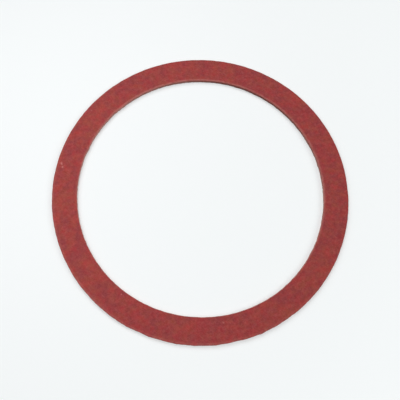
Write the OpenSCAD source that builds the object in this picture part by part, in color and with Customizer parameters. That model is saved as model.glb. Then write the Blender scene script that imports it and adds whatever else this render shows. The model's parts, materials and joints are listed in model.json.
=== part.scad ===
// Flat ring gasket punched from red vulcanised fibre sheet.
// The ring lies on its lower face: the origin is the centre of the bore on that face, and +Z is the bore axis.
// Both cuts were made in one stroke, so bore and rim have the same edge: a rolled-over upper corner,
// a straight sheared land below it, and a broken-out zone that falls back towards the lower face.

/* [Sheet] */
// Thickness of the fibre sheet
sheet_t = 0.8; // [0.7:0.1:3]

/* [Ring] */
// Diameter of the bore, at the land
bore_d = 50; // [10:0.5:200]
// Width of the ring from bore to rim, at the lands
ring_w = 5; // [2:0.5:40]

/* [Punched edge] */
// Radius of the rolled-over upper corners
roll_r = 0.15; // [0.05:0.01:0.2]
// Height of the broken-out zone above the lower face
break_h = 0.4; // [0.1:0.01:0.45]
// How far the broken-out wall falls back by the time it meets the lower face
break_w = 0.08; // [0.02:0.01:0.15]

/* [Hidden] */
// Facets of a full circle
$fn = 180;
fibre_red = "#9B4645";
bore_r = bore_d / 2;
rim_r = bore_r + ring_w;

// Section of the sheet between its two cuts, with square upper corners and broken-out lower ones
module sheared_section() {
    polygon([
        [bore_r + break_w, 0],
        [rim_r - break_w, 0],
        [rim_r, break_h],
        [rim_r, sheet_t],
        [bore_r, sheet_t],
        [bore_r, break_h]
    ]);
}

// What one upper corner loses: a square as wide as the roll-over, less the round that stays.
// It is drawn for a corner at the origin whose material lies towards +X and -Y, and it reaches
// one roll-over past the corner, clear of the section.
module rolled_corner() {
    difference() {
        translate([-roll_r, -roll_r]) square(2 * roll_r);
        translate([roll_r, -roll_r]) circle(roll_r);
    }
}

// Section of the finished ring
module ring_section() {
    difference() {
        sheared_section();
        translate([bore_r, sheet_t]) rolled_corner();
        translate([rim_r, sheet_t]) mirror([1, 0]) rolled_corner();
    }
}

module gasket() {
    color(fibre_red) rotate_extrude() ring_section();
}

gasket();
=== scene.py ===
# %% [markdown]
# # A red fibre gasket
# The object is a flat sealing ring, punched from a sheet of red vulcanised fibre. That is paper which was
# treated, pressed and cured until its layers grew together into one tough board. The solid ring is already
# drawn at its real size, and it is loaded here as a fixed frame. Sizes are read from it wherever it holds
# them, so the skin that this lesson builds fits the solid without any measuring by eye.

# %% Load the solid ring and read its sizes
import json
import math

import bpy
import numpy as np
from mathutils import Matrix, Vector


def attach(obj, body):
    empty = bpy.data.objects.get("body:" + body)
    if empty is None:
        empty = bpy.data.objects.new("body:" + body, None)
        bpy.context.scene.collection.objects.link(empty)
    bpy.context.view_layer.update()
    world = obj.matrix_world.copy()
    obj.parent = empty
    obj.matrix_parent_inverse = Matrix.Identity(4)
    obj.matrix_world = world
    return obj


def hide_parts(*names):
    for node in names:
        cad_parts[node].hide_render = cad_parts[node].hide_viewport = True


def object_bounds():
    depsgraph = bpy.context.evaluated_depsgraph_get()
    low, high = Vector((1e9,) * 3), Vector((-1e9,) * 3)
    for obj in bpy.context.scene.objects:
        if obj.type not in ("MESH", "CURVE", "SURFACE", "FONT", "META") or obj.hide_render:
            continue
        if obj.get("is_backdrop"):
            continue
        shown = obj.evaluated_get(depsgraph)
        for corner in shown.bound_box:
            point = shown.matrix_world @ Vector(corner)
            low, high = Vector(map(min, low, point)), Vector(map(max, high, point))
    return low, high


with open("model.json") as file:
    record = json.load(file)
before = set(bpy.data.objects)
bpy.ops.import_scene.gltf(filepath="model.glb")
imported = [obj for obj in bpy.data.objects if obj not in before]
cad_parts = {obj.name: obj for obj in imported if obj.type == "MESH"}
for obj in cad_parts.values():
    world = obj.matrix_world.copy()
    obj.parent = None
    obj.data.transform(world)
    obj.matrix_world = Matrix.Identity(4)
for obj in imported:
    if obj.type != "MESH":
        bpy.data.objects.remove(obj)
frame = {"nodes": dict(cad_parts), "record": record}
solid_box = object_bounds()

MM = 0.001
mounts = {mount["name"]: mount for mount in frame["record"]["mounts"]}
bore_radius = mounts["bore"]["dims"]["r_mm"] * MM
rim_radius = mounts["rim"]["dims"]["r_mm"] * MM
thickness = solid_box[1].z - solid_box[0].z
print(f"ring {2 * rim_radius / MM:.1f} mm across, bore {2 * bore_radius / MM:.1f} mm")
print(f"sheet {thickness / MM:.2f} mm thick")

# %% [markdown]
# ## The camera
# The ring lies flat and is seen from above, a little from the near side. Its two outlines are not quite
# concentric ellipses, and how far they drift apart gives the viewing angle and the distance. The camera is
# therefore built from a tilt, a turn and a distance to an aim point on the floor, and the picture's upright
# follows the frame's +Y, because a camera that looks down has no useful vertical to follow.

# %% Set up the camera
CAMERA_TILT = math.radians(15.78)
CAMERA_TURN = math.radians(-94.9)
CAMERA_DISTANCE = 101.2 * MM
CAMERA_AIM = Vector((-0.234, -1.63, 0.0)) * MM
SENSOR_WIDTH_MM = 36.0
FOCAL_LENGTH_MM = 44.77
NEAREST_SEEN = 1 * MM

towards_camera = Vector((
    math.sin(CAMERA_TILT) * math.cos(CAMERA_TURN),
    math.sin(CAMERA_TILT) * math.sin(CAMERA_TURN),
    math.cos(CAMERA_TILT),
))
picture_right = Vector((0, 1, 0)).cross(towards_camera).normalized()
picture_up = towards_camera.cross(picture_right)
camera_axes = Matrix((picture_right, picture_up, towards_camera)).transposed().to_4x4()

camera_data = bpy.data.cameras.new("camera")
camera_data.sensor_width = SENSOR_WIDTH_MM
camera_data.lens = FOCAL_LENGTH_MM
camera_data.clip_start = NEAREST_SEEN
camera = bpy.data.objects.new("camera", camera_data)
camera.matrix_world = Matrix.Translation(CAMERA_AIM + towards_camera * CAMERA_DISTANCE) @ camera_axes
bpy.context.scene.collection.objects.link(camera)
bpy.context.scene.camera = camera
bpy.context.scene.view_settings.view_transform = "Standard"
print("camera at", tuple(round(value / MM, 1) for value in camera.matrix_world.translation), "mm")

# %% [markdown]
# ## Helpers for materials
# Colours are written as the sRGB hex codes that a paint program shows, and one function turns them into the
# linear values that shaders work in. Another adds a node, sets it up and fills its inputs, so that each
# material below reads as a list of what feeds what.

# %% Colour and node helpers
def linear_colour(hex_code):
    """Turns an sRGB hex code such as "9b4645" into linear red, green, blue and a full alpha.
    Below 0.04045 the sRGB curve is a straight line, above it a power of 2.4."""
    srgb = np.array([int(hex_code[at:at + 2], 16) for at in (0, 2, 4)]) / 255
    linear = np.where(srgb <= 0.04045, srgb / 12.92, ((srgb + 0.055) / 1.055) ** 2.4)
    return (*linear.tolist(), 1.0)


def add_node(tree, kind, inputs=None, **settings):
    """Adds one node. Settings are its properties; inputs maps a socket's name or number to a value, which is
    set, or to another node's output, which is linked. A Mix node's sockets go by number, because its names
    repeat: 0 is the amount, 2 and 3 are two plain values, and 6 and 7 are two colours."""
    node = tree.nodes.new(kind)
    for name, value in settings.items():
        setattr(node, name, value)
    for socket, value in (inputs or {}).items():
        if isinstance(value, bpy.types.NodeSocket):
            tree.links.new(value, node.inputs[socket])
        else:
            node.inputs[socket].default_value = value
    return node


def new_material(name):
    """Makes an empty node material and returns it with its node tree."""
    material = bpy.data.materials.new(name)
    material.use_nodes = True
    material.node_tree.nodes.clear()
    return material, material.node_tree


def seen_directly(tree):
    """An amount that is 1 for what the camera sees, straight or by way of a reflection or glass, and 0 for
    what only sheds light on something else."""
    path = add_node(tree, "ShaderNodeLightPath").outputs
    straight_or_mirrored = add_node(tree, "ShaderNodeMath", {
        0: path["Is Camera Ray"], 1: path["Is Glossy Ray"]}, operation="MAXIMUM").outputs[0]
    return add_node(tree, "ShaderNodeMath", {
        0: straight_or_mirrored, 1: path["Is Transmission Ray"]}, operation="MAXIMUM").outputs[0]


print(f"half grey, 808080, is {linear_colour('808080')[0]:.3f} in linear light")

# %% [markdown]
# ## The sheet underneath
# The ring lies on white paper. A curved backdrop would do as well, but one flat sheet that reaches the
# horizon in low views is all that the ring's shadow needs.

# %% Lay the sheet
FLOOR_HALF_WIDTH = 2.0

floor_corners = FLOOR_HALF_WIDTH * np.array([(-1, -1, 0), (1, -1, 0), (1, 1, 0), (-1, 1, 0)])
floor_mesh = bpy.data.meshes.new("paper_floor")
floor_mesh.from_pydata(floor_corners, [], [(0, 1, 2, 3)])
floor = bpy.data.objects.new("paper_floor", floor_mesh)
bpy.context.scene.collection.objects.link(floor)
floor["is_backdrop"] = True
print("floor", 2 * FLOOR_HALF_WIDTH, "m wide")

# %% [markdown]
# ## White paper
# The lamps light the paper unevenly, and lamps strong enough to bring all of it to white would also bleach
# the ring. So the paper has plain diffuse shading, which keeps the ring's soft shadow, and a glow that lights
# nothing and is only seen. Near the ring the glow evens out the lamps' light, as the eye does: it rises to
# the right, away from the nearest lamp, and a little to the front and outwards. Further off the glow takes
# over from the shading, so that the sheet stays white up to the horizon.

# %% Slope the glow
GLOW_REACH = 60 * MM
GLOW_RISE_RIGHT = 0.22
GLOW_RISE_FRONT = 0.09
GLOW_RISE_OUT = 0.07

paper, tree = new_material("white_paper")
paper_place = add_node(tree, "ShaderNodeTexCoord").outputs["Object"]
paper_axes = add_node(tree, "ShaderNodeSeparateXYZ", {0: paper_place})
from_ring = add_node(tree, "ShaderNodeVectorMath", {0: paper_place}, operation="LENGTH").outputs["Value"]
glow_across = add_node(tree, "ShaderNodeMapRange", {
    "Value": paper_axes.outputs["X"], "From Min": -GLOW_REACH, "From Max": GLOW_REACH,
    "To Min": 1 - GLOW_RISE_RIGHT, "To Max": 1 + GLOW_RISE_RIGHT})
glow_deep = add_node(tree, "ShaderNodeMapRange", {
    "Value": paper_axes.outputs["Y"], "From Min": -GLOW_REACH, "From Max": GLOW_REACH,
    "To Min": 1 + GLOW_RISE_FRONT, "To Max": 1 - GLOW_RISE_FRONT})
glow_out = add_node(tree, "ShaderNodeMapRange", {
    "Value": from_ring, "From Max": GLOW_REACH, "To Min": 1.0, "To Max": 1 + GLOW_RISE_OUT,
}, interpolation_type="SMOOTHSTEP")
sloped_glow = add_node(tree, "ShaderNodeMath", {
    0: glow_across.outputs[0], 1: glow_deep.outputs[0]}, operation="MULTIPLY")
near_glow = add_node(tree, "ShaderNodeMath", {
    0: sloped_glow.outputs[0], 1: glow_out.outputs[0]}, operation="MULTIPLY")
print("glow changes over", GLOW_REACH / MM, "mm")

# %% Mix the white paper
# White uncoated paper: matt from every side, with a touch of blue in its white.
PAPER_WHITE = "fafdfe"
PAPER_GLOW = "f2f6f6"
PAPER_GLOW_SHARE = 0.35
FAR_REACH = 200 * MM
FAR_GLOW = 1.05

far = add_node(tree, "ShaderNodeMapRange", {
    "Value": from_ring, "From Min": rim_radius, "From Max": FAR_REACH})
glow_strength = add_node(tree, "ShaderNodeMix", {0: far.outputs[0], 2: near_glow.outputs[0], 3: FAR_GLOW})
share_by_place = add_node(tree, "ShaderNodeMapRange", {
    "Value": far.outputs[0], "To Min": PAPER_GLOW_SHARE, "To Max": 1.0})
glow_share = add_node(tree, "ShaderNodeMath", {
    0: seen_directly(tree), 1: share_by_place.outputs[0]}, operation="MULTIPLY")
shaded = add_node(tree, "ShaderNodeBsdfDiffuse", {"Color": linear_colour(PAPER_WHITE)})
glowing = add_node(tree, "ShaderNodeEmission", {
    "Color": linear_colour(PAPER_GLOW), "Strength": glow_strength.outputs[0]})
mixed = add_node(tree, "ShaderNodeMixShader", {
    "Fac": glow_share.outputs[0], 1: shaded.outputs[0], 2: glowing.outputs[0]})
add_node(tree, "ShaderNodeOutputMaterial", {"Surface": mixed.outputs[0]})
floor_mesh.materials.append(paper)
print("white paper of", len(tree.nodes), "nodes")

# %% [markdown]
# ## Lamps
# The shadows tell where the light comes from. Thin dark lines lie on the paper at the ring's right inside
# edge and at its near outside edge, so light falls in from the right and from behind. The ring's left is
# brighter than its right, which far lamps can't do, so a broad lamp hangs close by on the left and fades
# across the ring. A weak one in front keeps the near walls from going black.

# %% Hang the lamps
def hang_lamp(name, turn, height_angle, distance, width, strength):
    """Hangs a square lamp at a turn and a height angle, in degrees, round the ring's centre, facing it. The
    distance and the width are in metres. Its power is strength * (pi * distance) squared / sin(height angle),
    so strength 1 would light white paper at the centre to white, as long as the lamp is small for its
    distance."""
    turn, height_angle = math.radians(turn), math.radians(height_angle)
    away = Vector((
        math.cos(height_angle) * math.cos(turn),
        math.cos(height_angle) * math.sin(turn),
        math.sin(height_angle),
    ))
    lamp_data = bpy.data.lights.new(name, "AREA")
    lamp_data.size = width
    lamp_data.energy = strength * (math.pi * distance) ** 2 / math.sin(height_angle)
    lamp = bpy.data.objects.new(name, lamp_data)
    lamp.location = away * distance
    lamp.rotation_mode = "QUATERNION"
    lamp.rotation_quaternion = away.to_track_quat("Z", "Y")
    lamp.visible_camera = False
    bpy.context.scene.collection.objects.link(lamp)


hang_lamp("left_lamp", turn=160, height_angle=60, distance=0.116, width=0.14, strength=0.63)
hang_lamp("back_lamp", turn=106, height_angle=48, distance=0.8, width=0.35, strength=0.14)
hang_lamp("right_lamp", turn=352, height_angle=39, distance=0.8, width=0.45, strength=0.23)
hang_lamp("front_lamp", turn=255, height_angle=50, distance=0.8, width=0.35, strength=0.05)

# %% [markdown]
# ## The room
# A pale sky fills in what the lamps leave dark. With the lamps it lights white paper to about white, and a
# colour then renders about as it is written. Above the horizon the camera sees paper white, not the sky.

# %% Fill the room with light
SKY_WHITE = "ffffff"
SKY_STRENGTH = 0.157

world = bpy.data.worlds.new("room")
bpy.context.scene.world = world
world.use_nodes = True
tree = world.node_tree
tree.nodes.clear()
sky = add_node(tree, "ShaderNodeBackground", {"Color": linear_colour(SKY_WHITE), "Strength": SKY_STRENGTH})
backdrop = add_node(tree, "ShaderNodeBackground", {"Color": linear_colour(PAPER_WHITE), "Strength": 1.0})
mixed = add_node(tree, "ShaderNodeMixShader", {
    "Fac": seen_directly(tree), 1: sky.outputs[0], 2: backdrop.outputs[0]})
add_node(tree, "ShaderNodeOutputWorld", {"Surface": mixed.outputs[0]})
print("sky of strength", SKY_STRENGTH)

# %% [markdown]
# ## The section of the sheet
# A punched edge has three zones. The punch first drags the upper corner down into a small round, then shears
# a straight land, and below that the fibre tears and falls back towards the lower face. The solid's own mesh
# has these zones too, but its long thin triangles can't carry frayed edges. So the section is drawn again as
# one closed line through those zones, clockwise from the bore along the upper face. Points crowd together
# near the corners, where the shape and the finish change fastest.

# %% Read the section's sizes
# A point this low, as a share of the thickness, lies on the lower face.
LOWER_FACE_SHARE = 0.01

solid_points = np.empty(3 * len(frame["nodes"]["gasket"].data.vertices))
frame["nodes"]["gasket"].data.vertices.foreach_get("co", solid_points)
solid_points = solid_points.reshape(-1, 3)
on_lower_face = solid_points[:, 2] < LOWER_FACE_SHARE * thickness
lower_bore_radius = np.hypot(solid_points[on_lower_face, 0], solid_points[on_lower_face, 1]).min()
fall_back = lower_bore_radius - bore_radius
land_middle = mounts["bore"]["pos_m"][2]
land_length = mounts["bore"]["dims"]["length_mm"] * MM
land_low = land_middle - land_length / 2
land_high = land_middle + land_length / 2
roll_radius = thickness - land_high
print(f"roll-over {roll_radius / MM:.3f} mm, land {land_length / MM:.3f} mm")
print(f"fall-back {fall_back / MM:.3f} mm")

# %% Draw the section
FACE_STEPS, FACE_CROWDING = 28, 0.6
LOWER_STEPS, LOWER_CROWDING = 10, 0.8
ROLL_STEPS = 6
LAND_STEPS = 3
TEAR_STEPS = 5


def straight(start, end, steps, crowding=0.0):
    """Points from start to end, without the end itself. The share of the way is t - crowding * sin(2 pi t) /
    (2 pi), so a crowding above zero draws the points together near both ends."""
    t = np.linspace(0, 1, steps, endpoint=False)
    share = (t - crowding * np.sin(2 * np.pi * t) / (2 * np.pi))[:, None]
    return (1 - share) * np.array(start) + share * np.array(end)


def rounded(centre, start_turn, end_turn):
    """Points on a rolled-over corner's arc about its centre, from one turn to another in degrees, without the
    end itself: the centre plus the roll's radius times the cosine and sine of the turn."""
    turn = np.radians(np.linspace(start_turn, end_turn, ROLL_STEPS, endpoint=False))
    return np.array(centre) + roll_radius * np.stack([np.cos(turn), np.sin(turn)], axis=1)


bore_centre = (bore_radius + roll_radius, land_high)
rim_centre = (rim_radius - roll_radius, land_high)
rim_foot = (rim_radius - fall_back, 0)
bore_foot = (bore_radius + fall_back, 0)
face_start, face_end = bore_centre[0], rim_centre[0]
stretches = {
    "upper_face": straight((face_start, thickness), (face_end, thickness), FACE_STEPS, FACE_CROWDING),
    "rim_roll": rounded(rim_centre, 90, 0),
    "rim_land": straight((rim_radius, land_high), (rim_radius, land_low), LAND_STEPS),
    "rim_tear": straight((rim_radius, land_low), rim_foot, TEAR_STEPS),
    "lower_face": straight(rim_foot, bore_foot, LOWER_STEPS, LOWER_CROWDING),
    "bore_tear": straight(bore_foot, (bore_radius, land_low), TEAR_STEPS),
    "bore_land": straight((bore_radius, land_low), (bore_radius, land_high), LAND_STEPS),
    "bore_roll": rounded(bore_centre, 180, 90),
}
section = np.concatenate(list(stretches.values()))
zone = np.concatenate([[name] * len(points) for name, points in stretches.items()])
radius, height = section[:, 0], section[:, 1]
print("section of", len(section), "points")

# %% [markdown]
# ## Ways round the ring
# What punching does to the ring changes from place to place round it, so it is written as functions of the
# angle. These are smooth waves, a bell curve for a single mark, a share that peaks at one side, and blurred
# noise for what has no plan. Noise drawn from a fixed seed gives the same ring on every run.

# %% Waves and marks round the ring
STEPS_AROUND = 1440
angle = np.linspace(0, 2 * np.pi, STEPS_AROUND, endpoint=False)


def out_of_round(spring, shift, shift_at, oval, oval_at, trefoil, trefoil_at):
    """Spring-back plus a shift of the centre, an oval and a three-lobed wave. These are cosines of one, two
    and three times the angle, sized in mm, each with one crest at its angle in degrees."""
    return MM * (
        spring
        + shift * np.cos(angle - math.radians(shift_at))
        + oval * np.cos(2 * (angle - math.radians(oval_at)))
        + trefoil * np.cos(3 * (angle - math.radians(trefoil_at)))
    )


def mark(place, stand_out, width, edge_radius):
    """A nick or tuft: a bell curve along the edge, at a place in degrees, with its height and width in mm."""
    along_edge = edge_radius * np.angle(np.exp(1j * (angle - math.radians(place))))
    return MM * stand_out * np.exp(-((along_edge / (width * MM)) ** 2))


def peak(place, narrowness):
    """A share that is 1 at a place in degrees and fades to both sides: e to the power of narrowness *
    (cos(angle - place) - 1)."""
    return np.exp(narrowness * (np.cos(angle - math.radians(place)) - 1))


def swell(middle, swing, crest, most):
    """A share of middle + swing * cos(angle - crest), with the crest in degrees, kept between 0 and most."""
    return np.clip(middle + swing * np.cos(angle - math.radians(crest)), 0, most)


step_length = 2 * np.pi * rim_radius / STEPS_AROUND
print(STEPS_AROUND, f"steps round the ring, {step_length / MM:.3f} mm apart at the rim")

# %% Blurred noise
NOISE_SEED = 7

draws = np.random.default_rng(NOISE_SEED)


def blurred(white, *grains):
    """Blurs white noise by a bell curve of so many steps along each axis, and scales it to a spread of one.
    Every axis of the ring's skin closes on itself, so a Fourier transform does it without a seam."""
    waves = np.fft.fftn(white)
    for axis, grain in enumerate(grains):
        shape = [-1 if other == axis else 1 for other in range(white.ndim)]
        frequency = np.fft.fftfreq(white.shape[axis]).reshape(shape)
        waves = waves * np.exp(-2 * (np.pi * grain * frequency) ** 2)
    soft = np.fft.ifftn(waves).real
    return soft / soft.std()


print("noise drawn from seed", NOISE_SEED)

# %% [markdown]
# ## How the cuts stray from a true circle
# Fibre gives under the punch and springs back when it lets go, so the rim ends a few hundredths of a
# millimetre wider than the die and the bore a little tighter. Neither is quite round, and the bore is cut
# slightly off the centre. Both have small nicks and tufts where the sheet tore instead of shearing, and most
# of the rim's are at its near side. Each of these is a radius added at every angle, so the whole wall moves
# with it. Sculpting could do the same, but not twice alike.

# %% Work out both cuts' stray radius
# Each mark has its place in degrees, how far it stands out in mm (a nick stands in), and its width in mm.
RIM_MARKS = [
    (2, -0.05, 1.0), (225, -0.03, 1.2), (235, 0.04, 0.7), (242, 0.05, 0.4), (247, -0.10, 0.8),
    (261, 0.06, 0.45), (264, -0.03, 0.4), (282, -0.06, 2.0), (292, 0.10, 0.7), (304, -0.03, 1.8)]
BORE_MARKS = [
    (359, -0.03, 1.0), (18, 0.05, 0.5), (35, -0.05, 0.4), (87, -0.05, 0.6), (131, -0.05, 0.6),
    (138, 0.06, 0.8), (159, -0.09, 0.45), (163, 0.07, 0.4)]
RIPPLE_GRAIN = 2.5
RIM_RIPPLE = 0.014 * MM
BORE_RIPPLE = 0.009 * MM
EVEN_RIPPLE_SHARE = 0.7
ROUGH_RIPPLE_SHARE = 0.5
ROUGH_PLACE, ROUGH_NARROWNESS = 250, 2.0

rim_ripple = RIM_RIPPLE * (EVEN_RIPPLE_SHARE + ROUGH_RIPPLE_SHARE * peak(ROUGH_PLACE, ROUGH_NARROWNESS))
rim_stray = out_of_round(
    spring=0.07, shift=0.01, shift_at=108, oval=0.03, oval_at=86, trefoil=0.03, trefoil_at=34)
rim_stray += rim_ripple * blurred(draws.standard_normal(STEPS_AROUND), RIPPLE_GRAIN)
rim_stray += sum(mark(*numbers, rim_radius) for numbers in RIM_MARKS)
bore_stray = out_of_round(
    spring=-0.04, shift=0.036, shift_at=162, oval=0.063, oval_at=-27, trefoil=0.025, trefoil_at=-45)
bore_stray += BORE_RIPPLE * blurred(draws.standard_normal(STEPS_AROUND), RIPPLE_GRAIN)
bore_stray += sum(mark(*numbers, bore_radius) for numbers in BORE_MARKS)
print(f"rim strays {rim_stray.min() / MM:.3f} to {rim_stray.max() / MM:.3f} mm,",
      f"bore {bore_stray.min() / MM:.3f} to {bore_stray.max() / MM:.3f} mm")

# %% [markdown]
# ## The shape of the skin
# The section is carried once round the bore axis. A Screw modifier could do that too, but then the ring would
# be alike all round. Here each point moves with its cut's stray radius, less and less towards the middle of
# the ring. It is also pushed along the section's outward direction: a few thousandths of a millimetre of
# pressing waves on the face, more on the sheared land, and most where the fibre tore.

# %% Carry the section round the bore axis
FACE_WAVE = 0.004 * MM
FRAY_DEPTH_MM = {"roll": 0.006, "land": 0.010, "tear": 0.022}
FRAY_GRAIN = (1.6, 1.0)
PRESSING_GRAIN = (5.0, 2.5)

ahead = np.roll(section, -1, axis=0) - np.roll(section, 1, axis=0)
outward = np.stack([-ahead[:, 1], ahead[:, 0]], axis=1)
outward /= np.linalg.norm(outward, axis=1, keepdims=True)
grid = (STEPS_AROUND, len(section))
fray = blurred(draws.standard_normal(grid), *FRAY_GRAIN)
pressing = blurred(draws.standard_normal(grid), *PRESSING_GRAIN)
fray_depth = MM * sum(depth * np.char.endswith(zone, name) for name, depth in FRAY_DEPTH_MM.items())
relief = fray_depth * fray + FACE_WAVE * (zone == "upper_face") * pressing

middle_radius = (bore_radius + rim_radius) / 2
rim_follow = np.clip((radius - middle_radius) / (rim_radius - middle_radius), 0, 1)
bore_follow = np.clip((middle_radius - radius) / (middle_radius - bore_radius), 0, 1)
cut_stray = rim_follow * rim_stray[:, None] + bore_follow * bore_stray[:, None]
skin_radius = radius + cut_stray + outward[:, 0] * relief
skin_height = np.maximum(height + outward[:, 1] * relief, 0)
points = np.stack([
    np.cos(angle)[:, None] * skin_radius,
    np.sin(angle)[:, None] * skin_radius,
    skin_height,
], axis=2).reshape(-1, 3)
print(f"skin from {skin_radius.min() / MM:.3f} to {skin_radius.max() / MM:.3f} mm from the axis,",
      f"{skin_height.max() / MM:.3f} mm high")

# %% [markdown]
# ## The skin's mesh
# The points form a grid that closes on itself both ways, like a tyre, so it has no seam and no open edge, and
# every face is a quad. The two lower corners stay sharp; everywhere else the shading runs smoothly on.

# %% Join the points into a mesh
around, along = np.meshgrid(np.arange(STEPS_AROUND), np.arange(len(section)), indexing="ij")
next_around = (around + 1) % STEPS_AROUND
next_along = (along + 1) % len(section)
quads = np.stack([
    around * len(section) + along,
    around * len(section) + next_along,
    next_around * len(section) + next_along,
    next_around * len(section) + along,
], axis=2).reshape(-1, 4)

ring_mesh = bpy.data.meshes.new("fibre_ring")
ring_mesh.from_pydata(points, [], quads)
ring_mesh.polygons.foreach_set("use_smooth", np.ones(len(quads), dtype=bool))
edge_ends = np.empty(2 * len(ring_mesh.edges), dtype=np.int32)
ring_mesh.edges.foreach_get("vertices", edge_ends)
sharp_places = [np.flatnonzero(zone == "lower_face")[0], np.flatnonzero(zone == "bore_tear")[0]]
on_corner = np.isin(edge_ends.reshape(-1, 2) % len(section), sharp_places).all(axis=1)
ring_mesh.edges.foreach_set("use_edge_sharp", on_corner)
ring_mesh.update()
ring = bpy.data.objects.new("fibre_ring", ring_mesh)
bpy.context.scene.collection.objects.link(ring)
print("ring skin of", len(points), "points,", 2 * len(quads), "triangles,", on_corner.sum(), "sharp edges")

# %% [markdown]
# ## Raw walls and the far wall's painted shade
# The finish follows the cut. Raw, dull fibre shows on both walls, and on the bore it reaches up the rolled
# corner, furthest at the far right. The far wall of the bore is painted darker. This is painted shade,
# because that wall faces the near side, from where little light comes. Such amounts belong to the shape and
# not to a place in space, so they are stored on the skin as attributes, one number for each point.

# %% Store where the walls are raw and where the far wall gets painted shade
# The painted shade on the bore's far wall is darkest at this angle in degrees and fades to both sides.
FAR_WALL_SHADE_PLACE, FAR_WALL_SHADE_NARROWNESS = 66, 1.6


def store(name, values):
    """Stores one number per point of the skin, under the name by which the material asks for it."""
    attribute = ring_mesh.attributes.new(name, "FLOAT", "POINT")
    attribute.data.foreach_set("value", np.ascontiguousarray(values, dtype=np.float32).ravel())
    print(name, f"from {values.min():.2f} to {values.max():.2f}")


on_bore = radius < middle_radius
on_wall = ~np.char.endswith(zone, "face")
roll_climb = np.clip((height - land_high) / roll_radius, 0, 1)
# Painted shade: a share that darkens the bore's far wall, where that wall lies in shade.
far_wall_painted_shade = peak(FAR_WALL_SHADE_PLACE, FAR_WALL_SHADE_NARROWNESS)[:, None] * on_bore
raw_reach = swell(middle=0.65, swing=0.45, crest=50, most=0.96)[:, None] * on_bore
store("far_wall_painted_shade", far_wall_painted_shade)
store("cut", on_wall * np.clip((1 - roll_climb) / (1 - raw_reach), 0, 1))

# %% [markdown]
# ## Bruised corners and their painted highlight
# Where the punch dragged the sheet down, the upper corner is bruised: its pressed skin is cracked open and
# looks pale, on the top of the roll and a little way into the face. The same pale colour is also a painted
# highlight, the light that the rounded corner catches. On the bore this is strongest and widest at the far
# side, and on the rim it is faint and shows most at the near left.

# %% Store how bruised the corners are and where their highlight is painted
BRUISE_AND_HIGHLIGHT_MOST = 0.6
BRUISE_AND_HIGHLIGHT_FLAT = 0.14 * MM
BRUISE_AND_HIGHLIGHT_FADE = 0.13 * MM
# On the bore the pale band has its full width where the far wall's painted shade is at least this share.
FULL_WIDTH_SHADE_SHARE = 2 / 3
# The pale band starts this share of the way up the roll.
ROLL_BRUISED_AND_LIT_FROM = 0.75
BRUISE_AND_HIGHLIGHT_FRAYING = 0.35

bore_bruised_and_lit = swell(middle=0.45, swing=0.75, crest=FAR_WALL_SHADE_PLACE, most=0.78)
rim_bruised_and_lit = swell(middle=0.12, swing=0.28, crest=240, most=1.0)
bruised_and_lit_share = np.where(on_bore, bore_bruised_and_lit[:, None], rim_bruised_and_lit[:, None])
from_corner = np.minimum(radius - face_start, face_end - radius)
bruise_and_highlight_flat = np.where(on_bore, BRUISE_AND_HIGHLIGHT_FLAT * np.clip(far_wall_painted_shade / FULL_WIDTH_SHADE_SHARE, 0, 1), BRUISE_AND_HIGHLIGHT_FLAT)
bruise_and_highlight_on_face = np.exp(-np.clip((from_corner - bruise_and_highlight_flat) / BRUISE_AND_HIGHLIGHT_FADE, 0, None) ** 2)
bruise_and_highlight_on_roll = on_wall * np.clip((roll_climb - ROLL_BRUISED_AND_LIT_FROM) / (1 - ROLL_BRUISED_AND_LIT_FROM), 0, 1)
bruise_and_highlight = np.where(zone == "upper_face", bruise_and_highlight_on_face, bruise_and_highlight_on_roll)
# Painted highlight: the pale band on the rolled corner stands partly for the light that the corner catches.
store("bruise_and_highlight", BRUISE_AND_HIGHLIGHT_MOST * np.clip(bruise_and_highlight * bruised_and_lit_share * (1 + BRUISE_AND_HIGHLIGHT_FRAYING * fray), 0, 1))

# %% [markdown]
# ## Loose fibres in the face
# Five pale loose fibres are pressed into the face, two larger ones side by side at the left and three small
# ones. Each is an oval spot with a soft edge that lies askew to the ring. They could be tiny meshes, but a
# fibre that was rolled flat has no height left.

# %% Store where the flecks lie
# Each fleck has its angle in degrees, then its radius, half length and half width in mm, and its strength.
FLECKS = [
    (168.7, 29.15, 0.30, 0.15, 1.0), (170.1, 28.75, 0.26, 0.15, 0.9), (233.6, 25.7, 0.16, 0.12, 0.6),
    (142.7, 29.15, 0.16, 0.12, 0.5), (279.2, 26.2, 0.20, 0.12, 0.5)]
FLECK_TILT = math.radians(30)

fleck = np.zeros(grid)
for fleck_angle, fleck_radius, half_length, half_width, strength in FLECKS:
    along_ring = skin_radius * np.angle(np.exp(1j * (angle - math.radians(fleck_angle))))[:, None]
    across_ring = skin_radius - fleck_radius * MM
    lengthways = math.cos(FLECK_TILT) * along_ring - math.sin(FLECK_TILT) * across_ring
    sideways = math.sin(FLECK_TILT) * along_ring + math.cos(FLECK_TILT) * across_ring
    distance = (lengthways / (half_length * MM)) ** 2 + (sideways / (half_width * MM)) ** 2
    fleck = np.maximum(fleck, strength * np.exp(-(distance ** 2)) * (zone == "upper_face"))
store("fleck", fleck)

# %% [markdown]
# ## Vulcanised fibre and its patterns
# The sheet is many layers of dyed cotton paper, pressed into one between hot rolls. Up close the dye drifts
# between crimson and rust in soft clouds, some patches are redder, fibres lie denser or looser from place to
# place, and faint strands cross each other. Noise in the ring's own space can draw all of that. It has no
# seam, and it runs on over the corner as the real material does.

# %% Lay out the patterns
# Vulcanised fibre from hot rolls: an uneven dull red with a faint gleam, pale and quite matt where it is cut.
# Each pattern has its size in mm, how many finer octaves it has, and how strong these are. No size is exactly
# two, four or eight times another, because such noises share octaves and would line up.
PATTERNS = {
    "clouds": (1.7, 3.0, 0.6),
    "redness": (1.3, 3.0, 0.6),
    "mottle": (0.8, 4.0, 0.9),
    "grain": (0.22, 1.0, 0.5),
}
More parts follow.
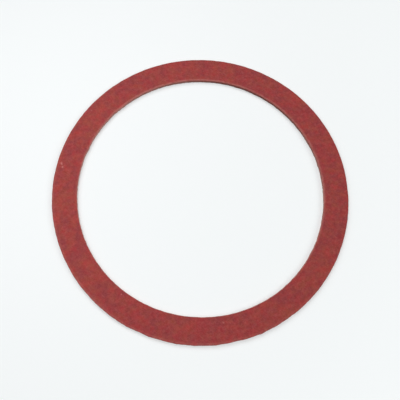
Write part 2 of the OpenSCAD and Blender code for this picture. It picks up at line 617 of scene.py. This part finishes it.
# A cotton fibre is about 0.02 mm thick. It is drawn eight times as thick, or strands wouldn't show at all.
STRAND_MM = (1.6, 0.16, 0.16)
STRAND_OCTAVES = 1.0
STRAND_TURNS = (25, -40)

fibre, tree = new_material("vulcanised_fibre")
place = add_node(tree, "ShaderNodeTexCoord").outputs["Object"]
pattern = {}
for name, (size_mm, octaves, roughness) in PATTERNS.items():
    pattern[name] = add_node(tree, "ShaderNodeTexNoise", {
        "Vector": place, "Scale": 1 / (size_mm * MM), "Detail": octaves, "Roughness": roughness}).outputs[0]
strands = []
for turn in STRAND_TURNS:
    laid = add_node(tree, "ShaderNodeMapping", {
        "Vector": place, "Rotation": (0, 0, math.radians(turn)),
        "Scale": tuple(size * MM for size in STRAND_MM)}, vector_type="TEXTURE")
    strands.append(add_node(tree, "ShaderNodeTexNoise", {
        "Vector": laid.outputs[0], "Scale": 1.0, "Detail": STRAND_OCTAVES}).outputs[0])
pattern["strands"] = add_node(tree, "ShaderNodeMath", {
    0: strands[0], 1: strands[1]}, operation="MAXIMUM").outputs[0]
print("patterns", sorted(pattern))

# %% [markdown]
# ## The dyed face
# The face starts as rust, and each pattern then lays its own shade over what is there: where its noise is
# low it shows nothing, and from there it grows to the most that it covers. The mottle and the grain work both
# ways, darker where fibres are dense and paler where they are loose.

# %% Dye the face
FIBRE_RUST = "954434"
FIBRE_CRIMSON = "863538"
FIBRE_RED = "ac2f32"
FIBRE_STRAND = "a8524c"
FIBRE_DENSE = "701312"
FIBRE_LOOSE = "c0635f"
# Each shade has its pattern, the noise at which it starts and at which it is full, the most that it covers,
# and its colour.
SHADES = [
    ("clouds", 0.25, 0.60, 1.00, FIBRE_CRIMSON),
    ("redness", 0.42, 0.75, 0.64, FIBRE_RED),
    ("strands", 0.55, 0.80, 0.50, FIBRE_STRAND),
    ("mottle", 0.50, 0.25, 0.60, FIBRE_DENSE),
    ("mottle", 0.50, 0.75, 0.34, FIBRE_LOOSE),
    ("grain", 0.50, 0.25, 0.18, FIBRE_DENSE),
    ("grain", 0.50, 0.75, 0.12, FIBRE_LOOSE),
]

face_colour = linear_colour(FIBRE_RUST)
for name, start, full, most, shade in SHADES:
    amount = add_node(tree, "ShaderNodeMapRange", {
        "Value": pattern[name], "From Min": start, "From Max": full, "To Max": most})
    face_colour = add_node(tree, "ShaderNodeMix", {
        0: amount.outputs[0], 6: face_colour, 7: linear_colour(shade)}, data_type="RGBA").outputs[2]
print("face of", len(SHADES), "shades over rust")

# %% [markdown]
# ## The cut, its painted shade, the bruise with its painted highlight, and the flecks
# The punch opens the sheet's layers, and they show as thin streaks along the walls, paler and darker by
# turns. Noise that is squeezed flat draws them. The stored amounts then say where raw walls, the far wall's
# painted shade, bruises with their painted highlight and flecks cover the dyed face.

# %% Colour the cut
FIBRE_CUT_PALE = "c8958b"
FIBRE_CUT_DEEP = "a86f65"
# Painted shade: the bore's far wall gets this darker copy of the cut colour.
FIBRE_PAINTED_SHADE_CUT_PALE = "804c44"
FIBRE_PAINTED_SHADE_CUT_DEEP = "66332d"
# Pale crushed fibre, and a painted highlight on the rolled corner.
FIBRE_BRUISE_AND_HIGHLIGHT = "b06d66"
FIBRE_FLECK = "c07470"
# The paper was about 0.07 mm thick, and a layer keeps its height for a millimetre or two along the wall.
LAYER_MM = (1.5, 1.5, 0.07)
LAYER_OCTAVES = 2.0
DEEP_LAYER, PALE_LAYER = 0.35, 0.65

stacked = add_node(tree, "ShaderNodeMapping", {
    "Vector": place, "Scale": tuple(size * MM for size in LAYER_MM)}, vector_type="TEXTURE")
layers = add_node(tree, "ShaderNodeTexNoise", {
    "Vector": stacked.outputs[0], "Scale": 1.0, "Detail": LAYER_OCTAVES}).outputs[0]
layer_amount = add_node(tree, "ShaderNodeMapRange", {
    "Value": layers, "From Min": DEEP_LAYER, "From Max": PALE_LAYER}).outputs[0]
raw_wall = add_node(tree, "ShaderNodeMix", {
    0: layer_amount, 6: linear_colour(FIBRE_CUT_DEEP), 7: linear_colour(FIBRE_CUT_PALE)}, data_type="RGBA")
painted_shade_wall = add_node(tree, "ShaderNodeMix", {
    0: layer_amount, 6: linear_colour(FIBRE_PAINTED_SHADE_CUT_DEEP), 7: linear_colour(FIBRE_PAINTED_SHADE_CUT_PALE)}, data_type="RGBA")

stored = {}
for name in ("far_wall_painted_shade", "cut", "bruise_and_highlight", "fleck"):
    stored[name] = add_node(tree, "ShaderNodeAttribute", attribute_name=name).outputs["Fac"]
# The far wall's painted shade mixes the raw cut towards its darker copy.
wall = add_node(tree, "ShaderNodeMix", {
    0: stored["far_wall_painted_shade"], 6: raw_wall.outputs[2], 7: painted_shade_wall.outputs[2]}, data_type="RGBA")
fibre_colour = face_colour
for name, cover in (
    ("cut", wall.outputs[2]), ("bruise_and_highlight", linear_colour(FIBRE_BRUISE_AND_HIGHLIGHT)), ("fleck", linear_colour(FIBRE_FLECK)),
):
    fibre_colour = add_node(tree, "ShaderNodeMix", {
        0: stored[name], 6: fibre_colour, 7: cover}, data_type="RGBA").outputs[2]
print("colour of", len(tree.nodes), "nodes")

# %% [markdown]
# ## Gleam and relief
# The rolls leave the face with a dull gleam, a little duller where the fibres are loose, and raw fibre has
# none. The face's grain and the layers on the walls are at most some hundredths of a millimetre deep. That is
# too fine for the mesh, so bump draws them.

# %% Finish the fibre
# Cellulose has an IOR near 1.53. The level of its reflection is matched to the ring's fine, dry surface.
FIBRE_IOR = 1.53
FIBRE_SPECULAR_LEVEL = 0.2
DENSE_MOTTLE, LOOSE_MOTTLE = 0.3, 0.7
DENSE_ROUGHNESS, LOOSE_ROUGHNESS = 0.68, 0.8
CUT_ROUGHNESS = 0.95
GRAIN_DEPTH = 0.006 * MM
LAYER_DEPTH = 0.02 * MM
BUMP_STRENGTH = 0.6

face_roughness = add_node(tree, "ShaderNodeMapRange", {
    "Value": pattern["mottle"], "From Min": DENSE_MOTTLE, "From Max": LOOSE_MOTTLE,
    "To Min": DENSE_ROUGHNESS, "To Max": LOOSE_ROUGHNESS})
fibre_roughness = add_node(tree, "ShaderNodeMix", {
    0: stored["cut"], 2: face_roughness.outputs[0], 3: CUT_ROUGHNESS})
layers_on_cut = add_node(tree, "ShaderNodeMath", {0: layers, 1: stored["cut"]}, operation="MULTIPLY")
layer_bump = add_node(tree, "ShaderNodeBump", {
    "Height": layers_on_cut.outputs[0], "Strength": BUMP_STRENGTH, "Distance": LAYER_DEPTH})
grain_bump = add_node(tree, "ShaderNodeBump", {
    "Height": pattern["grain"], "Strength": BUMP_STRENGTH, "Distance": GRAIN_DEPTH,
    "Normal": layer_bump.outputs[0]})
surface = add_node(tree, "ShaderNodeBsdfPrincipled", {
    "Base Color": fibre_colour, "Roughness": fibre_roughness.outputs[0], "Normal": grain_bump.outputs[0],
    "IOR": FIBRE_IOR, "Specular IOR Level": FIBRE_SPECULAR_LEVEL})
add_node(tree, "ShaderNodeOutputMaterial", {"Surface": surface.outputs[0]})
ring_mesh.materials.append(fibre)
print("vulcanised fibre of", len(tree.nodes), "nodes")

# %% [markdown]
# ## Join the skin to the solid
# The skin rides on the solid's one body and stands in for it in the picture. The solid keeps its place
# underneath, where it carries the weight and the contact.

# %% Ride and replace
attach(ring, "root")
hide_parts("gasket")
print("skin stands for the solid ring")

# %% [markdown]
# ## The two boxes
# The skin may stand proud of the solid by a few hundredths of its size and no more. Both boxes are
# printed.

# %% Print the two boxes
dressed_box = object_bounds()
for name, low, high in (("solid", *solid_box), ("dressed", *dressed_box)):
    print(name, "box", " x ".join(f"{size / MM:.3f}" for size in high - low), "mm")
